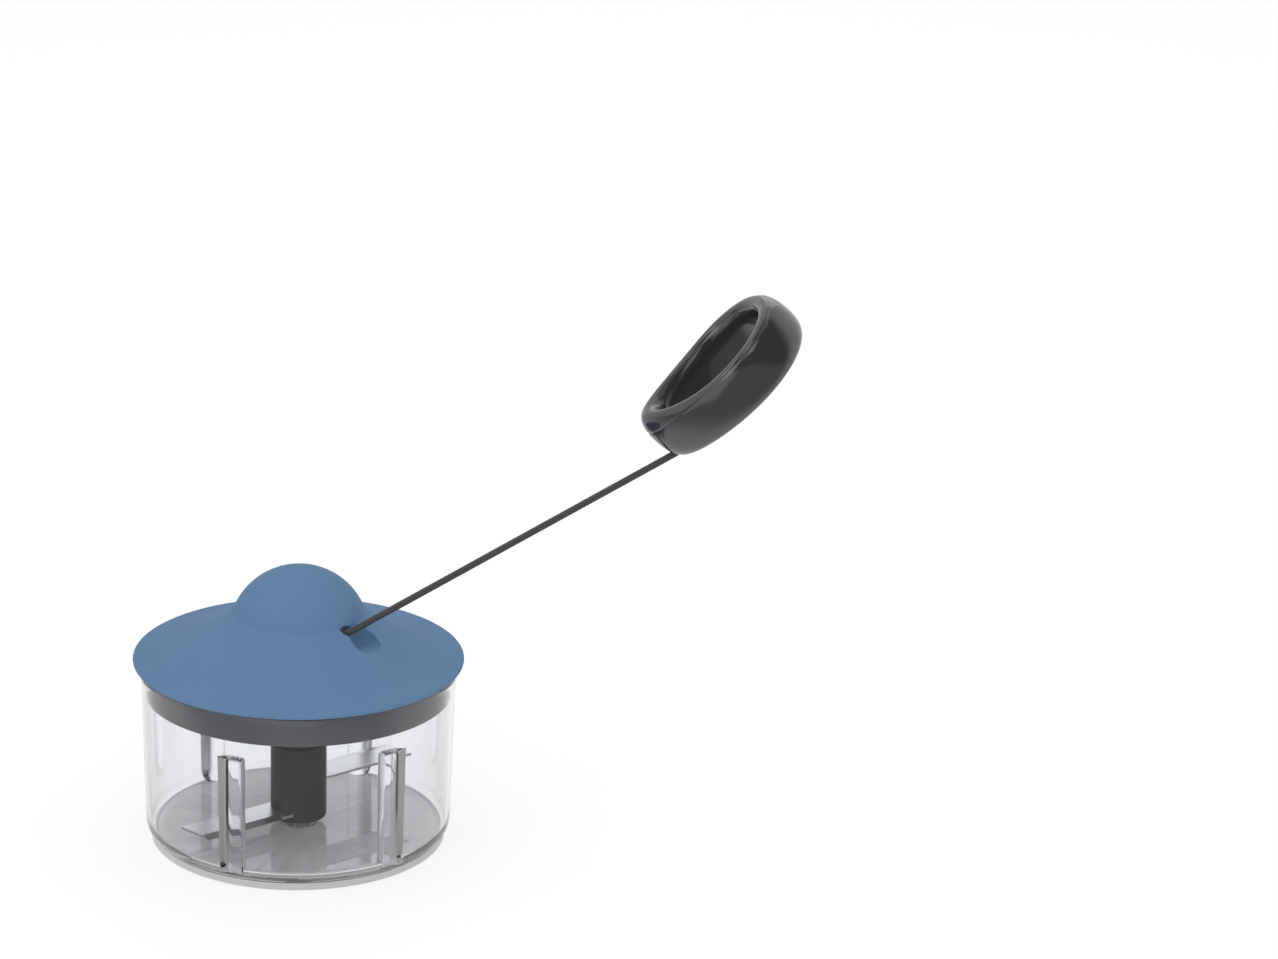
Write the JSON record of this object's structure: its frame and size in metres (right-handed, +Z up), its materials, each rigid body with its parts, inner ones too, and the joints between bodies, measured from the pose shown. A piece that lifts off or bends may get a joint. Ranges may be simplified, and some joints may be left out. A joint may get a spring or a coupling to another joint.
{
  "type": "pull-string food chopper",
  "caption": "Clear round chopping bowl with a spinning blade unit, a broad domed lid hiding a cord reel, and a loop handle on a drawn cord that spins the blades when pulled.",
  "frame": {"origin": "centre of the base, on the table", "axes": "+Z up along the blade axis, +X the level direction in which the cord is drawn, -Y the front seen in the picture"},
  "size_m": [0.2482, 0.126, 0.221],
  "materials": {
    "lid_blue": "satin moulded polypropylene, faint sheen",
    "band_grey": "satin moulded plastic",
    "clear_bowl": "clear polished plastic",
    "soft_clear": "milky translucent silicone",
    "hub_dark": "fine matt moulded plastic",
    "blade_steel": "stamped and ground stainless steel",
    "pin_steel": "turned steel",
    "spring_steel": "rolled spring strip",
    "handle_dark": "glossy moulded plastic",
    "cord_dark": "tight braided synthetic cord",
    "seal_grey": "soft silicone",
    "acetal": "natural white acetal"
  },
  "bodies": {
    "bowl": {"bowl": "clear_bowl", "foot_pad": "soft_clear", "pivot_pin": "pin_steel"},
    "blades": {"blade_hub": "hub_dark", "hub_bush": "acetal", "lower_blade": "blade_steel", "upper_blade": "blade_steel"},
    "lid": {"lid_cover": "lid_blue", "lid_base": "band_grey", "rim_seal": "seal_grey", "cord_eyelet": "hub_dark", "cover_screws": "pin_steel", "axle_pin": "pin_steel", "axle_washer": "acetal", "lower_bush": "acetal", "spring_plate": "pin_steel", "rewind_spring": "spring_steel", "cord_lead": "cord_dark", "pull_cord": "cord_dark"},
    "reel": {"cord_drum": "acetal", "drive_shaft": "hub_dark", "shaft_pin": "pin_steel", "wound_cord": "cord_dark"},
    "handle": {"handle_body": "handle_dark", "handle_cap": "handle_dark", "cord_knot": "cord_dark"}
  },
  "joints": [
    {"name": "lid_lift", "type": "slide", "parent": "bowl", "child": "lid", "axis": [0, 0, 1], "range_m": [0, 0.06]},
    {"name": "handle_pull", "type": "slide", "parent": "lid", "child": "handle", "axis": [0.8607, 0, 0.509], "range_m": [-0.118, 0.132], "stiffness_N_per_m": 20, "springref_m": -0.28, "deforming": ["pull_cord"]},
    {"name": "reel_spin", "type": "hinge", "parent": "lid", "child": "reel", "pos_m": [0, 0, 0.087], "axis": [0, 0, 1], "range_deg": [-372, 416], "deforming": ["wound_cord", "cord_lead", "rewind_spring"]},
    {"name": "blade_spin", "type": "hinge", "parent": "bowl", "child": "blades", "pos_m": [0, 0, 0.02], "axis": [0, 0, 1], "range_deg": [-372, 416]}
  ],
  "couplings": [
    {"joint": "reel_spin", "follows": "handle_pull", "rad_per_m": 54.645},
    {"joint": "blade_spin", "follows": "handle_pull", "rad_per_m": 54.645}
  ]
}
